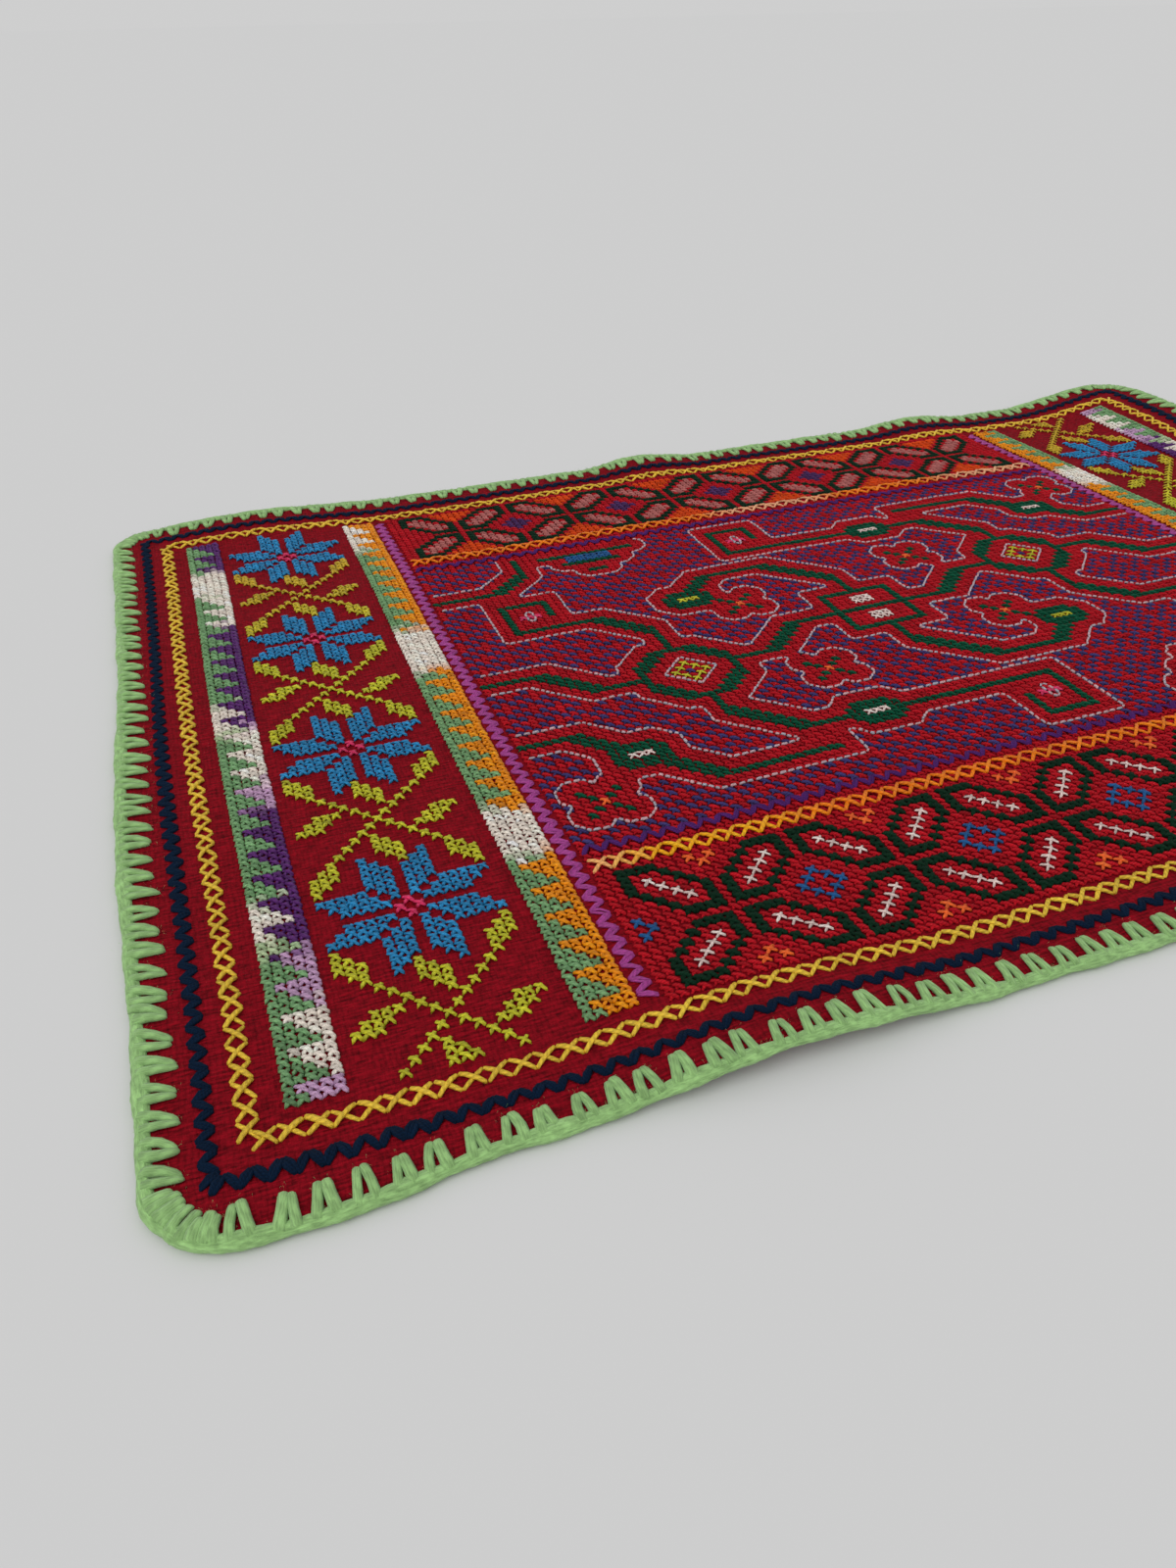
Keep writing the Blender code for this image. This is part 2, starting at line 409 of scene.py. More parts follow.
weave = {
    "cell": 0.0025,          # metres from one counting hole to the next
    "fibre": 0.95,
    "waver": 1.7,            # how far the threads stray, in blocks of half a cell
    "waverScale": 90.0,
    "threads": 3,            # side by side in a block
    "comb": 0.16,            # depth between them, as a share
    "hole": (0.17, 0.04),    # distance from a hole's middle at which it begins and is full, in cells
    "holeUp": 1.3,           # how much narrower a hole is up the cloth than across it
    "warpFibres": (1300.0, 320.0, 1.0),   # how the place is stretched for the fibres drawn out each way
    "weftFibres": (240.0, 1400.0, 1.0),
    "warpShare": 0.6,
    "weftShare": 1.5,
    "roughness": 0.6,        # of the fibres' noise
    "height": (0.8, 1.3, 0.4),      # what the blocks and fibres add, and the holes take away
    # painted shade: brightness from the blocks' height, the fibres and the holes; the blocks' feet and the
    # open holes are drawn darker, and the fibres add the cloth's own tone
    "shade": (0.28, 1.4, 0.2),
    "footPaintedShade": 0.76,        # painted shade: brightness at the foot of a block
}


def makeWeaveGroup():
    # Counted cotton in small blocks, laid weftwise and warpwise in turn: a block's height is the sine of
    # the place along its threads, combed by the cosine of the place across them. An open hole is left at
    # every corner of the counting cell, and fibres are drawn out both ways.
    group, given = newGroup("countedWeave", (
        ("Colour", "Color", None), ("Place", "Vector", None), ("Cell", "Float", weave["cell"]),
        ("Fibre", "Float", weave["fibre"])))
    work = partial(calc, group)
    place = addNode(group, "ShaderNodeSeparateXYZ", {}, {0: given["Place"]}).outputs
    waver = addNode(group, "ShaderNodeTexNoise", {"noise_dimensions": "3D"},
                    {"Scale": weave["waverScale"], "Detail": 2.0, "Vector": given["Place"]})
    bend = addNode(group, "ShaderNodeSeparateColor", {}, {0: waver.outputs["Color"]}).outputs

    def blocks(axis):
        # place in blocks of half a counting cell, bent a little by the noise
        push = work("MULTIPLY", work("SUBTRACT", bend[axis], 0.5), weave["waver"])
        return work("ADD", work("DIVIDE", place[axis], work("MULTIPLY", given["Cell"], 0.5)), push)
    across, up = blocks(0), blocks(1)

    def crown(along, over):
        dome = work("SINE", work("MULTIPLY", work("FRACT", along), math.pi))
        comb = work("COSINE", work("MULTIPLY", over, 2 * weave["threads"] * math.pi))
        return work("MULTIPLY", dome, work("MULTIPLY_ADD", comb, -weave["comb"], 1.0 - weave["comb"]))
    isWarp = work("ABSOLUTE", work("MODULO", work("ADD", work("FLOOR", across), work("FLOOR", up)), 2.0))
    weft, warp = crown(across, up), crown(up, across)
    cloth = work("MULTIPLY_ADD", work("SUBTRACT", warp, weft), isWarp, weft)

    def toCorner(way):
        return work("ABSOLUTE", work("SUBTRACT", work("FRACT", work("MULTIPLY_ADD", way, 0.5, 0.5)), 0.5))
    apart = work("MAXIMUM", toCorner(across), work("MULTIPLY", toCorner(up), weave["holeUp"]))
    hole = addNode(group, "ShaderNodeMapRange", {"interpolation_type": "SMOOTHSTEP"},
                   {"From Min": weave["hole"][0], "From Max": weave["hole"][1], "Value": apart})
    hole = hole.outputs["Result"]

    warpwise = fibreNoise(group, given["Place"], weave["warpFibres"], weave["roughness"])
    weftwise = fibreNoise(group, given["Place"], weave["weftFibres"], weave["roughness"])
    fibres = work("MULTIPLY", weftwise, weave["weftShare"])
    fibres = work("MULTIPLY", work("MULTIPLY_ADD", warpwise, weave["warpShare"], fibres), given["Fibre"])
    clothHeight, fibreHeight, holeDepth = weave["height"]
    height = work("ADD", work("MULTIPLY", cloth, clothHeight), work("MULTIPLY", fibres, fibreHeight))
    height = work("SUBTRACT", height, work("MULTIPLY", hole, holeDepth))
    # painted shade: lighter on the blocks' crowns, darker at their feet and darker again in the open holes
    blockPaintedShade, fibreShade, holePaintedShade = weave["shade"]
    bright = work("MULTIPLY_ADD", cloth, blockPaintedShade, weave["footPaintedShade"])
    bright = work("ADD", bright, work("MULTIPLY", fibres, fibreShade))
    bright = work("MULTIPLY", bright, work("MULTIPLY_ADD", hole, -holePaintedShade, 1.0))
    return giveOut(group, given, bright, height)


strandGroup = makeStrandGroup()
weaveGroup = makeWeaveGroup()


def patternMaterial(name, group, where, inputs, relief, finish):
    # the group's colour and height on the Principled shader, whose finish is set as constants; where the
    # pattern lies is told by a node: its kind, its settings and its output
    material = bpy.data.materials.new(name)
    material.use_nodes = True
    tree = material.node_tree
    shader = tree.nodes["Principled BSDF"]
    kind, settings, output = where
    if "Colour" not in inputs:
        attribute = addNode(tree, "ShaderNodeAttribute", {"attribute_name": "threadColour"}, {})
        inputs = {**inputs, "Colour": attribute.outputs["Color"]}
    place = addNode(tree, kind, settings, {}).outputs[output]
    pattern = addNode(tree, "ShaderNodeGroup", {"node_tree": group}, {**inputs, "Place": place})
    bump = addNode(tree, "ShaderNodeBump", {},
                   {"Strength": relief, "Distance": 0.0003, "Height": pattern.outputs["Height"]})
    tree.links.new(pattern.outputs["Colour"], shader.inputs["Base Color"])
    tree.links.new(bump.outputs["Normal"], shader.inputs["Normal"])
    for socket, value in finish.items():
        shader.inputs[socket].default_value = value
    return material


def threadMaterial(name, strands, relief, roughness, gloss, sheen):
    # stranded or woollen thread, coloured stitch by stitch
    finish = {"Roughness": roughness, "Specular IOR Level": gloss, "Sheen Weight": sheen,
              "Sheen Roughness": 0.5}
    where = ("ShaderNodeUVMap", {"uv_map": "threadUv"}, "UV")
    return patternMaterial(name, strandGroup, where, strands, relief, finish)


cottonThread = threadMaterial(
    "strandedCotton", {"Lay": 3.2, "Plies": 2.0, "Groove": 0.30, "Fibre": 1.1, "Streaks": (1.2, 14.0, 1.0)},
    relief=0.9, roughness=0.36, gloss=0.3, sheen=0.0)
matThread = threadMaterial(
    "softCotton", {"Lay": 1.6, "Plies": 2.0, "Groove": 0.35, "Fibre": 1.1, "Streaks": (1.3, 12.0, 1.0)},
    relief=0.8, roughness=0.8, gloss=0.12, sheen=0.0)
woolYarn = threadMaterial(
    "edgingWool", {"Lay": 8.0, "Plies": 2.0, "Groove": 0.12, "Fibre": 1.3, "Streaks": (0.35, 16.0, 1.0)},
    relief=1.0, roughness=1.0, gloss=0.05, sheen=0.25)
woolFibre = threadMaterial(
    "woolFibre", {"Lay": 8.0, "Plies": 2.0, "Groove": 0.0, "Fibre": 0.1, "Streaks": (0.35, 1.0, 1.0)},
    relief=0.0, roughness=1.0, gloss=0.0, sheen=0.4)
groundCotton = patternMaterial(
    "wovenGround", weaveGroup, ("ShaderNodeTexCoord", {}, "Object"),
    {"Colour": (*threads["groundRed"], 1.0)}, relief=0.7,
    finish={"Roughness": 0.85, "Specular IOR Level": 0.08})


def keepPiece(piece, material):
    piece.data.materials.clear()
    piece.data.materials.append(material)
    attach(piece, "root")


groundSheet = {
    "step": 4.2,             # mm between grid lines
    "thickness": 0.00075,
    "base": 0.05,            # mm above the cloth's underside
}


def makeGround():
    # the cut sheet as a grid of u and v with its corners drawn in, laid on the cloth's shape and thickened
    columns = int(fullWidth / groundSheet["step"])
    rows = int(fullDepth / groundSheet["step"])
    x = np.linspace(-clothShape["width"] / 2, clothShape["width"] / 2, columns + 1)
    y = np.linspace(-clothShape["depth"] / 2, clothShape["depth"] / 2, rows + 1)
    x, y = roundCorners(*np.meshgrid(x, y))
    points = layOn(x / mm + fullWidth / 2, y / mm + fullDepth / 2, groundSheet["base"]).reshape(-1, 3)
    corner = (np.arange(rows)[:, None] * (columns + 1) + np.arange(columns)).ravel()
    loops = np.stack([corner, corner + 1, corner + columns + 2, corner + columns + 1], axis=1).ravel()
    piece = meshFrom("wovenGround", points, loops, np.arange(0, len(loops), 4))
    solid = piece.modifiers.new("thickness", "SOLIDIFY")
    solid.thickness = groundSheet["thickness"]
    solid.offset = 1.0
    keepPiece(piece, groundCotton)
    return piece


ground = makeGround()
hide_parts("cloth")
print("woven ground laid")


edging = {
    "step": 1.0,             # mm along the edge between sections
    "sides": 12,
    "halfWidth": 1.75,       # mm, of the wool worked over the edge
    "halfHeight": 1.25,
    "middleHeight": 0.65,    # mm above the cloth's underside
    "clearance": 0.00005,    # metres kept above the floor
    "inset": 0.15,           # mm the wool's middle lies inside the cut edge
    "wrap": 3.65,            # mm between turns of the yarn
    "ridge": 0.07,           # depth of the turns, as a share of the radius
    "ridgeMiddle": 0.6,      # the sine's size at which the radius is neither more nor less
    "uneven": 0.02,          # spread of the radius, as a share
    "tone": 0.04,            # spread of the brightness, as a share
    "slowTone": (0.05, 3.7),            # slow change of brightness: share, mm for each radian
    "waver": ((0.10, 5.3, 0.0), (0.09, 2.3, 1.0), (0.06, 11.0, 0.0)),   # share, mm for each radian, start
}


def outwardOf(x, y, step):
    # unit directions out of a closed outline, square to the line through the points a step back and ahead
    alongX = np.roll(x, -step) - np.roll(x, step)
    alongY = np.roll(y, -step) - np.roll(y, step)
    size = np.hypot(alongX, alongY)
    return alongY / size, -alongX / size


def rimPath(count):
    # the cut edge with its swells: place, underside height and outward direction, and the length along it
    x, y = roundCorners(*squareRim(count))
    height = liftOf(x, y)
    x, y = swell(x, y)
    steps = np.hypot(np.roll(x, -1) - x, np.roll(y, -1) - y)
    length = np.concatenate([[0.0], np.cumsum(steps)])
    return x - centreX, y - centreY, height, *outwardOf(x, y, 1), length


def makeEdging():
    # an oval section carried round the edge; its radius swells over each slanted wrap of wool as the size
    # of a sine of place along plus share round, and wavers slowly with the hand
    count = int(edgeLength / edging["step"])
    x, y, height, outX, outY, length = rimPath(count)
    along = length[:-1] / mm
    sides = edging["sides"]
    around = np.arange(sides) / sides
    wraps = np.round(along[-1] / edging["wrap"])
    turn = along[:, None] / along[-1] * wraps + around[None, :]
    waver = sum((share * np.sin(along / over + start) for share, over, start in edging["waver"]), 1.0)
    ridge = edging["ridge"] * (np.abs(np.sin(np.pi * turn)) - edging["ridgeMiddle"])
    radius = waver[:, None] * (1.0 + ridge)
    radius = radius * random.normal(1.0, edging["uneven"], radius.shape)
    angle = 2 * np.pi * around
    out = (radius * np.cos(angle) * edging["halfWidth"] - edging["inset"]) * mm
    up = (radius * np.sin(angle) * edging["halfHeight"] + edging["middleHeight"]) * mm
    points = np.stack([x[:, None] + outX[:, None] * out, y[:, None] + outY[:, None] * out,
                       np.maximum(height[:, None] + up, edging["clearance"])], axis=-1).reshape(-1, 3)
    ring = np.arange(count)[:, None] * sides
    nextRing = (np.arange(count)[:, None] + 1) % count * sides
    side = np.arange(sides)[None, :]
    nextSide = (side + 1) % sides
    loops = np.stack([ring + side, nextRing + side, nextRing + nextSide, ring + nextSide], axis=-1).ravel()
    placeHere = np.broadcast_to(along[:, None], (count, sides))
    placeNext = placeHere + edging["step"]
    shareHere = np.broadcast_to(around[None, :], (count, sides))
    shareNext = shareHere + 1 / sides
    uv = np.stack([placeHere, shareHere, placeNext, shareHere, placeNext, shareNext, placeHere, shareNext],
                  axis=-1).reshape(-1, 2)
    share, over = edging["slowTone"]
    slowTone = np.repeat(1.0 + share * np.sin(along / over), sides)
    tone = random.normal(1.0, edging["tone"], len(points)) * slowTone
    colours = threads["wool"][None, :] * tone[:, None]
    piece = meshFrom("woolEdging", points, loops, np.arange(0, len(loops), 4), colours, uv)
    keepPiece(piece, woolYarn)
    return piece


# where values stand together they are for the short sides, the long sides and the corners, in that order
woolLegs = {
    "pitch": 7.3,            # mm between pairs along a side
    "unevenPitch": 0.11,     # how far a pair may stray, as a share of the pitch
    "depth": 8.9,            # mm from the outer edge to the needle hole
    "start": 0.6,            # mm outside the cut edge at which a leg begins
    "baseSpread": 1.80,      # mm from the pair's middle to each leg at the edge
    "holeSpread": (0.25, 0.50),   # and at the hole
    "slant": (-2.6, 0.0),    # mm that the hole lies off the pair's middle
    "bow": 0.12,             # mm that a leg bows away from its pair
    "farBow": 0.5,           # mm that the far leg bows on the short sides
    "unevenDepth": 0.05,     # spread of a pair's depth, as a share
    "unevenSlant": 0.35,     # mm, spread of where the hole lies
    "unevenBase": 0.10,      # spread of the distance at the edge, as a share
    "unevenReach": 0.02,     # and between the depths of a pair's two legs
    "cornerReach": 9.6,      # mm each way from a corner that the fan of single legs covers
    "cornerClear": 3.5,      # mm from the fan to the first pair
    "cornerPitch": 2.4,
    "cornerDepth": 7.4,      # mm from the outer edge to the holes of the fan
    "unevenCorner": 0.06,    # spread of that depth, as a share
    "root": (0.9, 0.3, 0.8),
    "taper": (0.62, 0.95, 0.85),
    "look": {"radius": 1.08, "flat": 0.62, "sides": 7, "stations": [0.03, 0.2, 0.5, 0.82, 0.93, 0.98],
             "dive": 0.25, "rise": 0.62, "crown": 0.30, "jitter": 0.15, "bow": 0.22, "uneven": 0.10,
             "blunt": 0.12, "tone": 0.05},
}


def edgeFrames(place):
    # the point on the rounded outline and the inward direction, at a length along the square-cornered edge
    x, y = roundCorners(*squareRim(clothShape["edgeSamples"]))
    outX, outY = outwardOf(x, y, 3)
    at = place / edgeLength * len(x)
    slots = np.arange(-1, len(x) + 1)

    def pick(values):
        return np.interp(at % len(x), slots, np.concatenate([values[-1:], values, values[:1]]))
    u, v = pick(x) / mm + fullWidth / 2, pick(y) / mm + fullDepth / 2
    return u, v, pick(-outX), pick(-outY)


def legPlaces():
    # pairs stand at the pitch along each side; single legs fan round each corner
    pairs, singles = [], []
    corner = 0.0
    reach = woolLegs["cornerReach"]
    clear = reach + woolLegs["cornerClear"]
    stray = woolLegs["unevenPitch"]
    for side in (clothShape["width"], clothShape["depth"], clothShape["width"], clothShape["depth"]):
        length = side / mm
        count = int((length - 2 * clear) / woolLegs["pitch"])
        spacing = (length - 2 * clear) / count
        places = np.arange(count) + 0.5 + random.uniform(-stray, stray, count)
        pairs.append(corner + clear + places * spacing)
        singles.append(corner + np.arange(-reach, reach + 0.1, woolLegs["cornerPitch"]))
        corner = corner + length
    return np.concatenate(pairs), np.concatenate(singles)


def makeLegs():
    # pairs of wool legs reach in from the edge and share a hole; on the short sides the hole lies to one
    # side and the further leg curves over to it
    nose, start = clothShape["nose"] / mm, woolLegs["start"]
    pairs, singles = legPlaces()
    u, v, inU, inV = edgeFrames(pairs)
    count = len(pairs)
    depth = woolLegs["depth"] * random.normal(1.0, woolLegs["unevenDepth"], count) - nose
    short = np.abs(inU) > 0.9
    slant = np.where(short, *woolLegs["slant"]) + random.normal(0.0, woolLegs["unevenSlant"], count)
    holeSpread = np.where(short, *woolLegs["holeSpread"])
    begin, end, curve = [], [], []
    for sign in (-1.0, 1.0):
        base = sign * woolLegs["baseSpread"] * random.normal(1.0, woolLegs["unevenBase"], count)
        tip = sign * holeSpread + slant
        reach = depth * random.normal(1.0, woolLegs["unevenReach"], count)
        begin.append(np.stack([u - inV * base - inU * start, v + inU * base - inV * start], axis=1))
        end.append(np.stack([u + inU * reach - inV * tip, v + inV * reach + inU * tip], axis=1))
        curve.append(np.where(short & (sign > 0), woolLegs["farBow"], woolLegs["bow"] * sign))
    u, v, inU, inV = edgeFrames(singles)
    reach = woolLegs["cornerDepth"] * random.normal(1.0, woolLegs["unevenCorner"], len(singles)) - nose
    begin.append(np.stack([u - inU * start, v - inV * start], axis=1))
    end.append(np.stack([u + inU * reach, v + inV * reach], axis=1))
    curve.append(np.zeros(len(singles)))

    def byPlace(onShort, onLong, atCorner):
        onSides = np.where(short, onShort, onLong)
        return np.concatenate([onSides, onSides, np.full(len(singles), atCorner)])
    look = dict(woolLegs["look"], root=byPlace(*woolLegs["root"]), taper=byPlace(*woolLegs["taper"]),
                curve=np.concatenate(curve))
    begin, end = np.concatenate(begin), np.concatenate(end)
    keepPiece(sewStitches("woolLegs", begin, end, threads["wool"], look), woolYarn)
    return begin, end


woolHairs = {
    "count": 8000,
    "length": (0.4, 1.1),    # mm, shortest and longest
    "onEdge": 0.35,          # share that stands on the edging; the rest stands on the legs
    "band": (-1.2, 1.8),     # mm inwards from the cut edge, where those on the edging stand
    "scatter": 0.85,         # mm, spread about a leg's middle line
    "bright": 1.35,          # painted light: how much brighter than the wool's own colour the loose fibres are drawn, as a lit halo
    "look": {"radius": 0.018, "flat": 1.0, "sides": 3, "stations": [0.5], "over": 0.35, "dive": 0.0,
             "rise": 0.95, "crown": 0.6, "taper": 0.8, "bow": 0.5, "jitter": 0.0, "uneven": 0.3,
             "tone": 0.12},
}


def makeHairs(begin, end):
    # loose fibres that stand off the legs and the edge: short curved stitches at random, arched off them
    count = woolHairs["count"]
    onLeg = random.integers(0, len(begin), count)
    share = random.uniform(0.0, 1.05, count)[:, None]
    root = begin[onLeg] * (1 - share) + end[onLeg] * share
    edge = random.random(count) < woolHairs["onEdge"]
    u, v, inU, inV = edgeFrames(random.uniform(0.0, edgeLength, count))
    inwards = random.uniform(*woolHairs["band"], count)
    onEdge = np.stack([u + inU * inwards, v + inV * inwards], axis=1)
    root = np.where(edge[:, None], onEdge, root + random.normal(0.0, woolHairs["scatter"], (count, 2)))
    turn = random.uniform(0.0, 2 * np.pi, count)
    length = random.uniform(*woolHairs["length"], count)
    tip = root + np.stack([np.cos(turn), np.sin(turn)], axis=1) * length[:, None]
    # painted light: the loose fibres are drawn brighter than the wool they come from
    piece = sewStitches("woolHairs", root, tip, threads["wool"] * woolHairs["bright"], woolHairs["look"])
    keepPiece(piece, woolFibre)


rim = makeEdging()
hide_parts("edging")
makeHairs(*makeLegs())
print("wool edging worked")


strandLook = {"bow": 0.10, "tone": 0.08}
longStrand = dict(strandLook, sides=6, stations=[0.05, 0.3, 0.7, 0.95])

# places in mm from the cloth's sides; the crossed lines have one rise for each layer
borderLines = {
    "navy": {"inset": 12.9, "pitch": 5.3, "halfWidth": 1.9, "strands": 3, "spread": 0.72,
             "look": {"radius": 0.57, "rise": 0.45}},
    "yellow": {"inset": 20.9, "pitch": 10.6, "halfWidth": 2.3, "rises": (0.35, 0.95),
               "look": {"radius": 0.61}},
    "atHole": 0.45,          # distance between a zigzag's strands at a hole, as a share of their spread
    "bow": 0.4,              # and how far they bow between holes
}
middleLines = {
    "columnInset": 108.7,    # to the magenta lines
    "columnEnds": 27.5,
    "gap": 3.5,              # between a magenta line and the ends of the lines across
    "amberInset": 75.2,
    "purpleInset": 82.2,
    "magenta": {"pitch": 5.0, "halfWidth": 2.3, "strands": 3, "spread": 0.75, "look": {"rise": 0.42}},
    "purple": {"pitch": 5.4, "halfWidth": 1.9, "strands": 3, "spread": 0.58,
               "look": {"radius": 0.46, "over": 0.7, "rise": 0.45}},
    "amber": {"pitch": 10.4, "halfWidth": 2.7, "rises": (0.4, 0.9), "look": {"radius": 0.61, "over": 0.7}},
}


def runPoints(start, finish, line, phase=0):
    # corners of a zigzag from start to finish, in turn right and left of the line
    start, finish = np.array(start, dtype=float), np.array(finish, dtype=float)
    length = np.hypot(*(finish - start))
    count = int(round(length / (line["pitch"] / 2)))
    direction = (finish - start) / length
    across = np.array([-direction[1], direction[0]])
    place = np.linspace(0.0, length, count + 1)
    side = np.where((np.arange(count + 1) + phase) % 2 == 0, -1.0, 1.0) * line["halfWidth"]
    points = start + place[:, None] * direction + side[:, None] * across
    return np.stack(wander(points[:, 0], points[:, 1]), axis=1), direction


def sewZigzags(name, runs, line, thread, material):
    # each leg of a zigzag is a few strands side by side, which bow apart between the holes
    begin, end, curve = [], [], []
    for start, finish in runs:
        points, direction = runPoints(start, finish, line)
        turn = np.where(np.arange(len(points) - 1) % 2 == 0, -1.0, 1.0)
        for strand in range(line["strands"]):
            place = (strand - (line["strands"] - 1) / 2) * line["spread"]
            shift = place * borderLines["atHole"] * direction
            begin.append(points[:-1] + shift)
            end.append(points[1:] + shift)
            curve.append(turn * place * borderLines["bow"])
    look = dict(strandLook, curve=np.concatenate(curve), **line["look"])
    piece = sewStitches(name, np.concatenate(begin), np.concatenate(end), threads[thread], look)
    keepPiece(piece, material)


def crossedLine(runs, line, colourAt):
    # two zigzags in opposite step, so that their legs cross in the middle of the line, the second on top
    layers = []
    for phase, rise in enumerate(line["rises"]):
        points = [runPoints(start, finish, line, phase)[0] for start, finish in runs]
        begin = np.concatenate([run[:-1] for run in points])
        end = np.concatenate([run[1:] for run in points])
        look = dict(longStrand, rise=rise, **line["look"])
        layers.append(sewStitches("crossedLayer", begin, end, colourAt(begin), look))
    return layers


def frameRuns(inset):
    # the four sides of a frame, once round from the near left corner
    corners = [(inset, inset), (fullWidth - inset, inset), (fullWidth - inset, fullDepth - inset),
               (inset, fullDepth - inset)]
    return list(zip(corners, corners[1:] + corners[:1]))


def spanColours(place, spans):
    # colours along a line from a short table of spans, from, to and thread, blended from one to the next
    at = np.array([limit for span in spans for limit in span[:2]])
    values = np.array([threads[span[2]] for span in spans for limit in span[:2]])
    return np.stack([np.interp(place, at, values[:, channel]) for channel in range(3)], axis=1)


# mm from the left side
amberSpans = {
    "near": ((104, 104, "peach"), (128, 156, "amber"), (178, 420, "deepAmber")),
    "far": ((112, 236, "deepAmber"), (252, 290, "peach"), (304, 350, "deepAmber"), (366, 420, "peach")),
}


def makeLines():
    # two frames round the cloth, two columns, and two pairs of lines across between the columns
    navy, yellow = borderLines["navy"], borderLines["yellow"]
    sewZigzags("navyZigzag", frameRuns(navy["inset"]), navy, "navy", matThread)
    layers = crossedLine(frameRuns(yellow["inset"]), yellow, lambda places: threads["yellow"])
    keepPiece(joinPieces("yellowCrossedLine", layers), cottonThread)

    ends, gap = middleLines["columnEnds"], middleLines["gap"]
    left, right = middleLines["columnInset"], fullWidth - middleLines["columnInset"]
    runs = [((x, ends), (x, fullDepth - ends)) for x in (left, right)]
    sewZigzags("magentaZigzags", runs, middleLines["magenta"], "magenta", cottonThread)
    inset = middleLines["purpleInset"]
    runs = [((left + gap, y), (right - gap, y)) for y in (inset, fullDepth - inset)]
    sewZigzags("purpleZigzags", runs, middleLines["purple"], "purple", matThread)

    layers = []
    inset = middleLines["amberInset"]
    for side, y in (("near", inset), ("far", fullDepth - inset)):
        layers += crossedLine([((left + gap, y), (right - gap, y))], middleLines["amber"],
                              lambda places: spanColours(places[:, 0], amberSpans[side]))
    keepPiece(joinPieces("amberCrossedLines", layers), cottonThread)


makeLines()
print("border and middle lines sewn")


# looks of cross stitches: raised, plain, hidden under others, and the lower leg of a raised one
fineCross = {"radius": 0.60, "stations": [0.10, 0.5, 0.90], "dive": 0.12, "rise": 0.95, "crown": 0.8,
             "bow": 0.15, "jitter": 0.12, "tone": 0.13}
plainCross = {"radius": 0.62, "flat": 0.75, "sides": 4, "stations": [0.14, 0.5, 0.86], "dive": 0.1,
              "rise": 0.52, "crown": 0.8, "taper": 0.85, "bow": 0.12, "jitter": 0.12, "tone": 0.12}
hiddenCross = {"radius": 0.72, "flat": 0.6, "sides": 4, "stations": [0.5], "dive": 0.1, "rise": 0.30,
               "crown": 0.6, "taper": 0.85, "tone": 0.12}
underCross = dict(fineCross, sides=4, stations=[0.2, 0.8], rise=0.62, crown=0.5)
lowerLegPaintedShade = 0.92            # painted shade: brightness of a cross's lower leg, which lies under its upper one, against that upper leg


def crossStitch(name, u, v, colours, cell, upper, lower, material):
    # each cross is a lower leg from near left to far right and an upper leg from far left to near right
    colours = np.broadcast_to(colours, (len(u), 3))
    u, v = wander(u, v)
    span = upper.get("span", anyStitch["span"])
    halfU, halfV = cell[0] / 2 * span, cell[1] / 2 * span
    # painted shade: the lower leg, lying under the upper one, is drawn darker
    below = sewStitches(name + "Below", np.stack([u - halfU, v - halfV], axis=1),
                        np.stack([u + halfU, v + halfV], axis=1), colours * lowerLegPaintedShade, lower)
    above = sewStitches(name + "Above", np.stack([u - halfU, v + halfV], axis=1),
                        np.stack([u + halfU, v - halfV], axis=1), colours, upper)
    keepPiece(joinPieces(name, [below, above]), material)


def withHalfTurn(u, v):
    # the places, and the same ones turned half round the cloth's middle
    return np.concatenate([u, fullWidth - u]), np.concatenate([v, fullDepth - v])


toothedBands = {
    "cell": (2.56, 2.56),    # mm, one stitch
    "wide": 5,               # stitches
    "tooth": 4,              # rows from one tooth to the next
    "ends": 26.0,            # mm from the near and far edges
    "outerStart": 28.3,      # mm from the left side to each band's first column
    "innerStart": 93.0,
    "blotch": 1.6,           # mm, spread of the places where a colour turns
}

# mm from the near side
bandSpans = {
    "outerLeft": ((26, 70, "sage"), (76, 76, "paleSage"), (82, 90, "cream"), (95, 168, "sage"),
                  (174, 174, "paleSage"), (179, 191, "cream"), (196, 276, "sage"), (281, 300, "cream"),
                  (305, 330, "sage")),
    "outerRight": ((26, 31, "lilac"), (33, 51, "cream"), (54, 72, "lilac"), (74, 130, "deepPurple"),
                   (133, 142, "lilac"), (148, 173, "cream"), (177, 177, "lilac"), (180, 249, "deepPurple"),
                   (253, 300, "cream"), (304, 330, "deepPurple")),
    "innerLeft": ((26, 84, "sage"), (88, 108, "cream"), (112, 188, "sage"), (194, 222, "cream"),
                  (228, 298, "sage"), (304, 330, "cream")),
    "innerRight": ((26, 84, "orange"), (88, 104, "cream"), (108, 190, "orange"), (196, 220, "cream"),
                   (226, 330, "orange")),
}


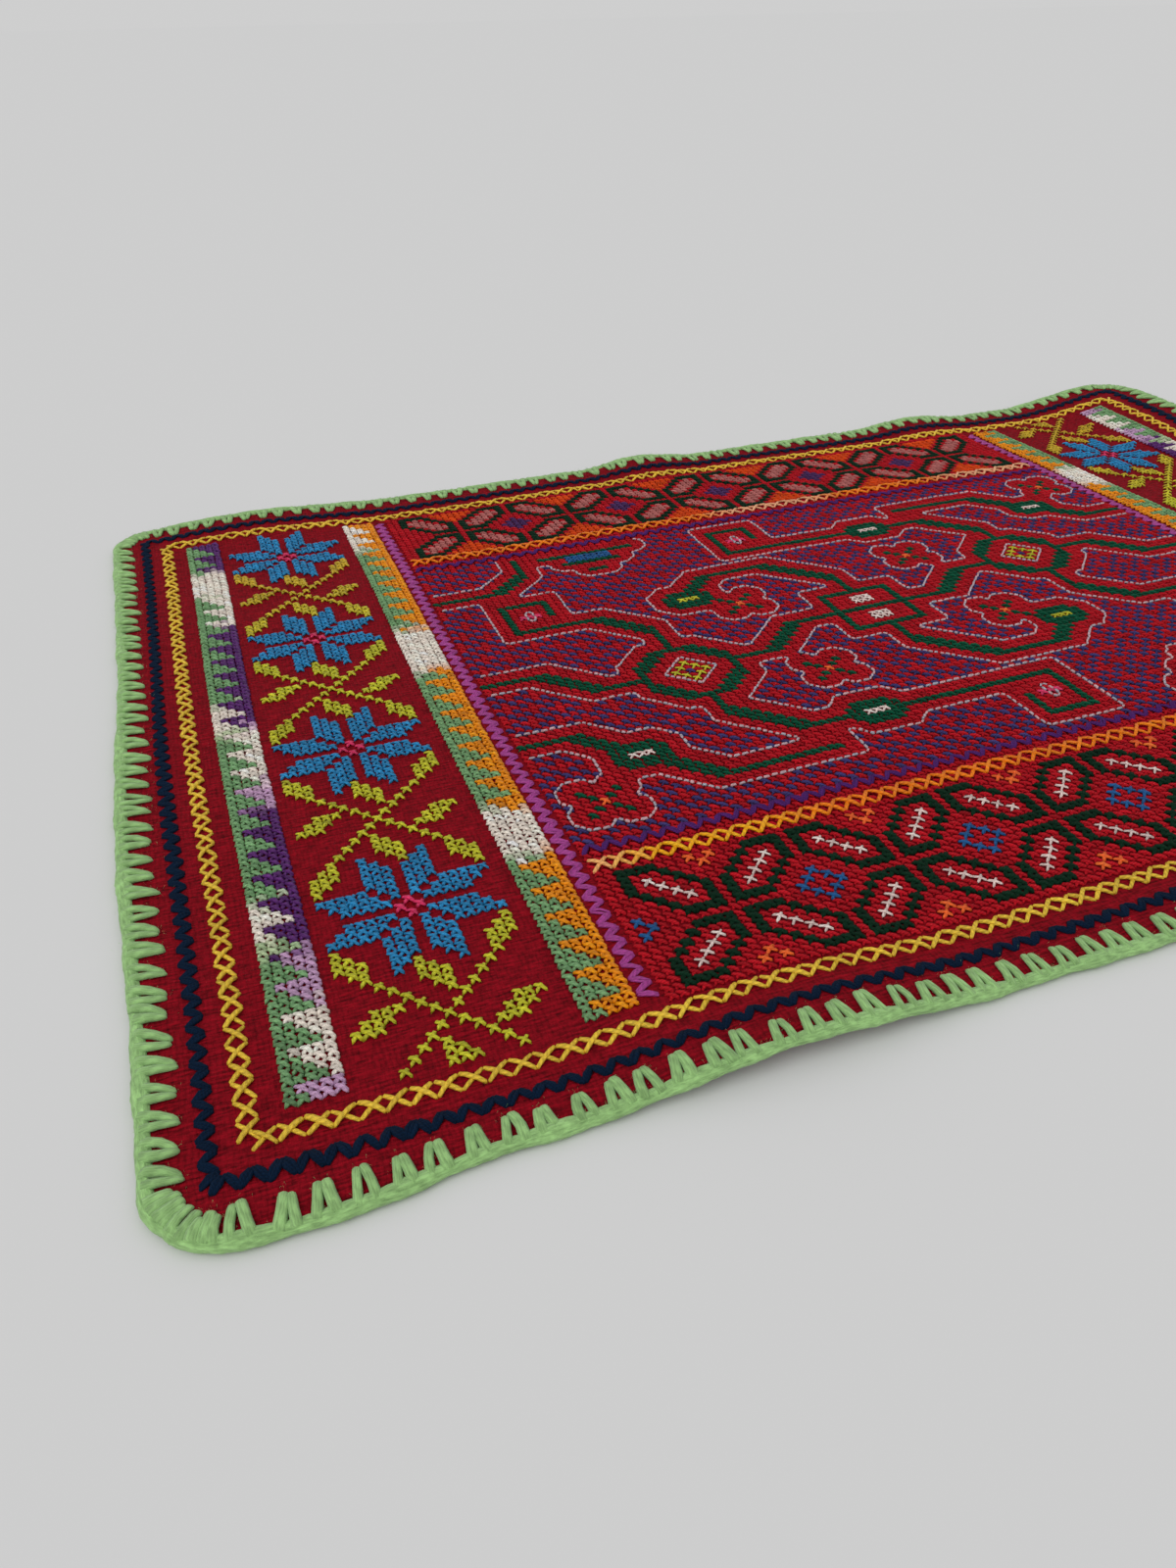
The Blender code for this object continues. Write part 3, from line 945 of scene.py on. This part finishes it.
def makeToothedBands():
    # counted from the far end, row r keeps the left thread up to column r mod the tooth, and the right
    # thread beyond
    cellU, cellV = toothedBands["cell"]
    rows = int((fullDepth - 2 * toothedBands["ends"]) / cellV)
    column, row = np.meshgrid(np.arange(toothedBands["wide"]), np.arange(rows))
    column, row = column.ravel(), row.ravel()
    v = fullDepth - toothedBands["ends"] - (row + 0.5) * cellV
    isLeft = column <= row % toothedBands["tooth"]
    for band in ("outer", "inner"):
        u = toothedBands[band + "Start"] + (column + 0.5) * cellU
        blotch = v + random.normal(0.0, toothedBands["blotch"], len(v))
        colours = np.where(isLeft[:, None], spanColours(blotch, bandSpans[band + "Left"]),
                           spanColours(blotch, bandSpans[band + "Right"]))
        crossStitch(band + "ToothedBands", *withHalfTurn(u, v), np.tile(colours, (2, 1)), (cellU, cellV),
                    fineCross, underCross, cottonThread)


flowerColumn = {
    "middle": 66.2,          # mm from the side
    "cell": (2.61, 2.64),    # mm, one stitch
    "firstFlower": 306.6,    # mm up the left column
    "pitch": 76.1,
    "flowers": 4,
    "clear": 4.2,            # mm kept free past the yellow line
    "look": dict(fineCross, radius=0.52),
}
sprigSpans = ((26, 215, "lime"), (285, 330, "gold"))   # mm from the near side


def flowerChart():
    # eight slanted petals: columns 1 to 3 from the middle, each five stitches long and one further out
    near = np.array([(a, b) for a in (1, 2, 3) for b in range(a + 1, a + 6)])
    quarter = np.concatenate([near, near[:, ::-1]])
    return np.concatenate([quarter * (sx, sy) for sx in (1, -1) for sy in (1, -1)])


def sprigChart():
    # two crossing stems of single stitches, with a slanted leaf of three by three at each end and half way
    stems = [(k, k * slope) for k in range(-5, 6) for slope in (1, -1)]
    leaves = []
    for k in range(3):
        for step in range(3):
            leaves += [(-8 + k, 8 - k + step), (6 + k, 6 + k + step)]
            leaves += [(-1 + k, 5 - k + step), (-8 + k + step, k)]
    leaves = np.array(leaves)
    return np.unique(np.concatenate([np.array(stems), leaves, -leaves]), axis=0)


def makeFlowerColumns():
    # flowers at the pitch down the left column, with a sprig half a pitch below each
    cellU, cellV = flowerColumn["cell"]
    centreRing = np.array([(1, 0), (-1, 0), (0, 1), (0, -1)])
    middles = flowerColumn["firstFlower"] - np.arange(flowerColumn["flowers"]) * flowerColumn["pitch"]
    for name, chart, shift, thread in (("starFlowers", flowerChart(), 0.0, "blue"),
                                       ("flowerCentres", centreRing, 0.0, "pink"),
                                       ("limeSprigs", sprigChart(), -0.5, "lime")):
        u = np.tile(flowerColumn["middle"] + chart[:, 0] * cellU, len(middles))
        v = ((middles + shift * flowerColumn["pitch"])[:, None] + chart[:, 1] * cellV).ravel()
        kept = v > borderLines["yellow"]["inset"] + flowerColumn["clear"]
        u, v = withHalfTurn(u[kept], v[kept])
        colours = spanColours(v, sprigSpans) if thread == "lime" else threads[thread]
        crossStitch(name, u, v, colours, (cellU, cellV), flowerColumn["look"], underCross, cottonThread)


makeToothedBands()
makeFlowerColumns()
print("bands and flowers stitched")


# the middle is covered with stitches from one magenta line to the other, counted from its middle stitch
middleField = {
    "cell": (2.68, 2.62),    # mm, one stitch
    "columns": 55,           # on each side of the middle one
    "rows": 58,
    "panelRows": 35,         # the meander panel's rows on each side of the middle one
    "margin": 2.1,           # plain red beside a drawn line
    "lineShare": 0.94,       # length of a running stitch over its pitch
}
leafBand = {
    "row": 49,               # rows from the middle to the leaf bands' crossings
    "halfRows": 9,
    "pitch": 18,             # columns from one crossing to the next
    "lastLeaf": 53,          # last column of the leaves
    "lastRing": 40,          # and of the whole rings between them
}
speckle = {"repeat": 10, "blue": (1, 3, 7, 9), "lean": 3, "block": 20}   # columns; lean in columns a row


def leafBandChart(column, row, far):
    # thread names for one leaf band; p runs 0 to 7 from a leaf's outer end to its inner one, q from the
    # middle row outwards, and the leaf lies where p plus q is 4 to 10
    pitch = leafBand["pitch"]
    a = (column % pitch) - pitch // 2
    b = row
    p, q = 8 - np.abs(a), np.abs(b) - 1
    inLeaf = (p >= 0) & (p <= 7) & (q >= 0) & (q <= 7)
    inLeaf = inLeaf & (np.abs(column) <= leafBand["lastLeaf"])
    edge = ((q == 7) & (p <= 3)) | ((p == 0) & (q >= 4)) | ((q == 0) & (p >= 4)) | ((p == 7) & (q <= 3))
    edge = edge | ((p + q == 10) & (p >= 4) & (p <= 6)) | ((p + q == 4) & (p >= 1) & (p <= 3))
    veins = (p + q == 7) & (p >= 2) & (p <= 5)
    chart = np.full(column.shape, "red", dtype=object)
    if far:
        chart[(np.abs(a) < np.abs(b) - 4) & (np.abs(b) <= 8)] = "ember"
        veins = (np.abs(p + q - 7) <= 1) & (np.abs(p - q) <= 4)
    chart[inLeaf & edge] = "leafGreen"
    chart[inLeaf & veins] = "rose" if far else "white"
    d = ((column + pitch // 2) % pitch) - pitch // 2
    whole = np.abs(column) <= leafBand["lastRing"]
    lastRing = leafBand["lastLeaf"] + 1
    half = (np.abs(np.abs(column) - lastRing) + np.abs(b) == 1) & (np.abs(column) <= lastRing)
    if far:
        chart[(np.abs(d) + np.abs(b) <= 2) & whole] = "plum"
    else:
        chart[((np.abs(d) + np.abs(b) == 2) & whole) | half] = "deepBlue"
        chart[((np.abs(a) == 1) & (np.abs(b) == 8)) | ((a == 0) & (np.abs(b) == 7))] = "flame"
    return chart


def stroke(points, half=0.6, thread="keneGreen"):
    # the meander panel is drawn as strokes, in stitches: points, half the width, and thread
    return (np.array(points, dtype=float), half, thread)


def fret(x, y, sx, sy):
    # the line turns in on itself by three right angles, round a pink heart
    turns = [(0, 0), (8, 0), (8, 8), (2, 8), (2, 4)]
    heart = [(4, 4), (6, 4)]
    place = np.array([(x, y)])
    way = np.array([(sx, sy)])
    return [stroke(place + way * turns, 0.9), stroke(place + way * heart, 0.5, "pink")]


def bead(x, y, thread):
    # a rounded spot strung on the line, with a heart of another thread
    return [stroke([(x - 1, y), (x + 1, y)], 2.6), stroke([(x - 0.6, y), (x + 0.6, y)], 0.8, thread)]


def wheel(x, y):
    # an eight-sided ring round a lime lozenge
    ring = [(x + 6, y - 2), (x + 6, y + 2), (x + 2, y + 6), (x - 2, y + 6), (x - 6, y + 2), (x - 6, y - 2),
            (x - 2, y - 6), (x + 2, y - 6), (x + 6, y - 2)]
    lozenge = [(x + 2, y), (x, y + 2), (x - 2, y), (x, y - 2), (x + 2, y)]
    return [stroke(ring, 0.9), stroke(lozenge, thread="lime")]


def window(x, y):
    # an upright square crossed by a level bar, with a pale spot in each half
    square = [(x + 5, y + 5), (x - 5, y + 5), (x - 5, y - 5), (x + 5, y - 5), (x + 5, y + 5)]
    panes = [stroke([(x - 1, y + high), (x + 1, y + high)], thread="white") for high in (2.5, -2.5)]
    return [stroke(square, 0.9), stroke([(x - 5, y), (x + 5, y)])] + panes


def saltire(x, y):
    # two short crossed strokes with an orange stitch where they meet
    arms = [stroke([(x - 2, y - 2 * slope), (x + 2, y + 2 * slope)], 0.5) for slope in (1, -1)]
    return arms + [stroke([(x, y), (x, y)], 0.5, "flame")]


def steps(x, y, up):
    # three bars, each shorter than the one before, with blue between the first two
    bars = [stroke([(x - wide, y + up * high), (x + wide, y + up * high)])
            for wide, high in ((7, 0), (4, 3), (1, 6))]
    return bars + [stroke([(x - 3, y + up * 1.5), (x + 3, y + up * 1.5)], thread="deepBlue")]


def halfPanel():
    # one half of the panel, lines first; the other half is the same turned half round
    lines = (((6, 0), (12, 0), (18, 6), (24, 6)),
             ((36, 7), (42, 7), (48, 1), (55, 1)),
             ((30, 13), (30, 17), (23, 24), (-2, 24)),
             ((30, 1), (30, -5), (36, -11), (39, -11)),
             ((0, 6), (0, 10), (-8, 18), (-17, 18), (-22, 13)),
             ((-55, 24), (-46, 24), (-41, 29), (-41, 34)),
             ((55, 16), (49, 16), (36, 29), (22, 29)))
    strokes = [stroke(points, 0.8) for points in lines]
    strokes += wheel(30, 7) + fret(-2, 24, -1, 1) + fret(39, -11, 1, -1) + steps(-30, 33, -1)
    strokes += bead(14, 24, "white") + bead(-22, 12, "lime") + bead(43, 22, "white")
    return strokes + saltire(50, 29) + saltire(14, 13) + saltire(16, -8)


def strokeDistance(x, y, points):
    # distance from every stitch to the nearest of a stroke's straight runs; a run may be a single point
    nearest = np.full(x.shape, np.inf)
    for (x0, y0), (x1, y1) in zip(points[:-1], points[1:]):
        dx, dy = x1 - x0, y1 - y0
        size = max(dx * dx + dy * dy, 1e-9)
        t = np.clip(((x - x0) * dx + (y - y0) * dy) / size, 0.0, 1.0)
        nearest = np.minimum(nearest, np.hypot(x - x0 - t * dx, y - y0 - t * dy))
    return nearest


def panelChart(column, row):
    # thread names and distances to the nearest green stroke: speckle of red and dark blue, which leans one
    # way and then the other, plain red near the green strokes, and the strokes themselves
    strokes = window(0, 0)
    for points, half, thread in halfPanel():
        strokes += [(points, half, thread), (-points, half, thread)]
    chart = np.full(column.shape, "red", dtype=object)
    block = speckle["block"]
    lean = np.where((column + 3 * block) // block % 2 == 0, speckle["lean"], -speckle["lean"])
    chart[np.isin((column + lean * row) % speckle["repeat"], speckle["blue"])] = "speckleBlue"
    apart = np.full(column.shape, np.inf)
    for points, half, thread in strokes:
        if thread == "keneGreen":
            apart = np.minimum(apart, strokeDistance(column, row, points) - half)
    chart[apart < middleField["margin"]] = "red"
    for points, half, thread in strokes:
        chart[strokeDistance(column, row, points) < half] = thread
    return chart, apart


def contourStitches(field):
    # Running stitches where the field changes sign: in every square of four stitches the line joins the
    # middles of the two sides whose ends differ.
    inside = field < 0
    a, b, c, d = inside[:-1, :-1], inside[:-1, 1:], inside[1:, 1:], inside[1:, :-1]
    code = a * 1 + b * 2 + c * 4 + d * 8
    bottom, right, top, left = (0.5, 0.0), (1.0, 0.5), (0.5, 1.0), (0.0, 0.5)
    cases = {1: (left, bottom), 2: (bottom, right), 3: (left, right), 4: (right, top), 6: (bottom, top),
             7: (left, top), 8: (top, left), 9: (bottom, top), 11: (right, top), 12: (left, right),
             13: (bottom, right), 14: (left, bottom)}
    begin, end = [], []
    for value, (first, second) in cases.items():
        rows, columns = np.nonzero(code == value)
        begin.append(np.stack([columns + first[0], rows + first[1]], axis=1))
        end.append(np.stack([columns + second[0], rows + second[1]], axis=1))
    return np.concatenate(begin), np.concatenate(end)


boldCross = dict(plainCross, radius=0.78, rise=0.85, span=1.15)
accentCross = dict(fineCross, radius=0.42, over=0.40, rise=0.50)
plumpCross = dict(accentCross, radius=0.54)
runningStitch = dict(strandLook, radius=0.50, over=0.55, rise=0.35, sides=4, stations=[0.2, 0.8])

# the middle's pieces: name, threads, where, look of the upper and of the lower legs, material
middlePieces = (
    ("leafBandRed", ("red",), "bands", plainCross, hiddenCross, matThread),
    ("panelRed", ("red",), "panel", plainCross, hiddenCross, matThread),
    ("panelDarkBlue", ("speckleBlue",), "panel", dict(plainCross, rise=0.60), hiddenCross, matThread),
    ("leafBandAccents", ("ember", "plum", "rose"), "bands", dict(plainCross, radius=0.68, rise=0.6),
     hiddenCross, matThread),
    ("leafOutlines", ("leafGreen",), "bands", boldCross, dict(boldCross, rise=0.65), matThread),
    ("meanderLines", ("keneGreen",), "panel", dict(boldCross, radius=0.60, rise=0.7, span=1.06),
     hiddenCross, matThread),
    ("paleAccents", ("white", "lime"), "both", accentCross, dict(accentCross, rise=0.30), cottonThread),
    ("brightAccents", ("deepBlue", "flame", "pink"), "both", plumpCross, dict(plumpCross, rise=0.30),
     cottonThread),
)


def makeMiddleField():
    # every stitch of the field is looked up in the charts, and stitches of like thread become a piece; then
    # a running stitch follows the edge of the green lines' margin
    cellU, cellV = middleField["cell"]
    halfColumns, halfRows, panelRows = (middleField[key] for key in ("columns", "rows", "panelRows"))
    column, row = np.meshgrid(np.arange(-halfColumns, halfColumns + 1), np.arange(-halfRows, halfRows + 1))
    chart = np.full(column.shape, "red", dtype=object)
    for far, sign in ((False, -1), (True, 1)):
        fromBand = row - sign * leafBand["row"]
        band = np.abs(fromBand) <= leafBand["halfRows"]
        chart[band] = leafBandChart(column, fromBand, far)[band]
    panel = np.abs(row) <= panelRows
    drawn, apart = panelChart(column, row)
    chart[panel] = drawn[panel]

    u = fullWidth / 2 + column * cellU
    v = fullDepth / 2 + row * cellV
    places = {"bands": ~panel, "panel": panel, "both": panel | ~panel}
    for name, names, where, upper, lower, material in middlePieces:
        chosen = np.isin(chart, names) & places[where]
        colours = np.array([threads[thread] for thread in chart[chosen]])
        crossStitch(name, u[chosen], v[chosen], colours, middleField["cell"], upper, lower, material)

    begin, end = contourStitches(apart[np.abs(row[:, 0]) <= panelRows] - middleField["margin"])
    scale = np.array([cellU, cellV])
    corner = np.array([fullWidth / 2 - halfColumns * cellU, fullDepth / 2 - panelRows * cellV])
    begin, end = begin * scale + corner, end * scale + corner
    middle, reach = (begin + end) / 2, (end - begin) / 2 * middleField["lineShare"]
    begin = np.stack(wander(*(middle - reach).T), axis=1)
    end = np.stack(wander(*(middle + reach).T), axis=1)
    share = random.random(len(begin))[:, None]
    colours = threads["paleBlue"] * share + threads["shell"] * (1 - share)
    outlines = sewStitches("meanderOutlines", begin, end, colours, runningStitch)
    keepPiece(outlines, cottonThread)


makeMiddleField()
print("middle field stitched")


studio = {
    "floorAlbedo": 0.72,
    "floorSize": 120.0,
    "floorHeight": -0.0001,
    "surround": 0.62,
    "sun": 0.90,
    "sunFrom": (-0.50, -0.30, 0.80),             # from the near left, above
    "sunSoftness": 45.0,
    "lens": 25.16,
    "cameraFromCorner": (39.7, -129.3, 180.2),   # mm from the near left corner of the cloth with its wool
    "pitch": 35.10,
    "yaw": 19.58,
    "roll": -1.285,
}


def makeStudio():
    # a pale matt floor, an even white surround and one very soft sun
    bpy.ops.mesh.primitive_plane_add(size=studio["floorSize"], location=(0.0, 0.0, studio["floorHeight"]))
    floor = bpy.context.object
    floor.name = "floor"
    material = bpy.data.materials.new("floor")
    material.use_nodes = True
    shader = material.node_tree.nodes["Principled BSDF"]
    shader.inputs["Base Color"].default_value = (*[studio["floorAlbedo"]] * 3, 1.0)
    shader.inputs["Roughness"].default_value = 1.0
    shader.inputs["Specular IOR Level"].default_value = 0.0
    floor.data.materials.append(material)

    world = bpy.data.worlds.new("studio")
    bpy.context.scene.world = world
    world.use_nodes = True
    background = world.node_tree.nodes["Background"]
    background.inputs["Color"].default_value = (1.0, 1.0, 1.0, 1.0)
    background.inputs["Strength"].default_value = studio["surround"]

    lamp = bpy.data.lights.new("softSun", "SUN")
    lamp.energy = studio["sun"]
    lamp.angle = math.radians(studio["sunSoftness"])
    sun = bpy.data.objects.new("softSun", lamp)
    sun.rotation_mode = "QUATERNION"
    sun.rotation_quaternion = Vector(studio["sunFrom"]).to_track_quat("Z", "Y")
    bpy.context.scene.collection.objects.link(sun)
    bpy.context.scene.view_settings.view_transform = "Standard"


def makeCamera():
    # forward from yaw and pitch, in degrees; right and up then turned by the roll
    data = bpy.data.cameras.new("camera")
    data.lens = studio["lens"]
    data.sensor_width = 36.0
    data.clip_start = 0.01
    camera = bpy.data.objects.new("camera", data)
    yaw, pitch, roll = (math.radians(studio[key]) for key in ("yaw", "pitch", "roll"))
    forward = np.array([math.sin(yaw) * math.cos(pitch), math.cos(yaw) * math.cos(pitch), -math.sin(pitch)])
    level = np.array([math.cos(yaw), -math.sin(yaw), 0.0])
    upward = np.cross(level, forward)
    right = level * math.cos(roll) + upward * math.sin(roll)
    up = -level * math.sin(roll) + upward * math.cos(roll)
    u, v, w = studio["cameraFromCorner"]
    place = ((u - fullWidth / 2) * mm - centreX, (v - fullDepth / 2) * mm - centreY, w * mm)
    turned = np.stack([right, up, -forward, place], axis=1)
    camera.matrix_world = Matrix([*turned.tolist(), [0.0, 0.0, 0.0, 1.0]])
    bpy.context.scene.collection.objects.link(camera)
    bpy.context.scene.camera = camera


makeStudio()
makeCamera()
print("studio ready")
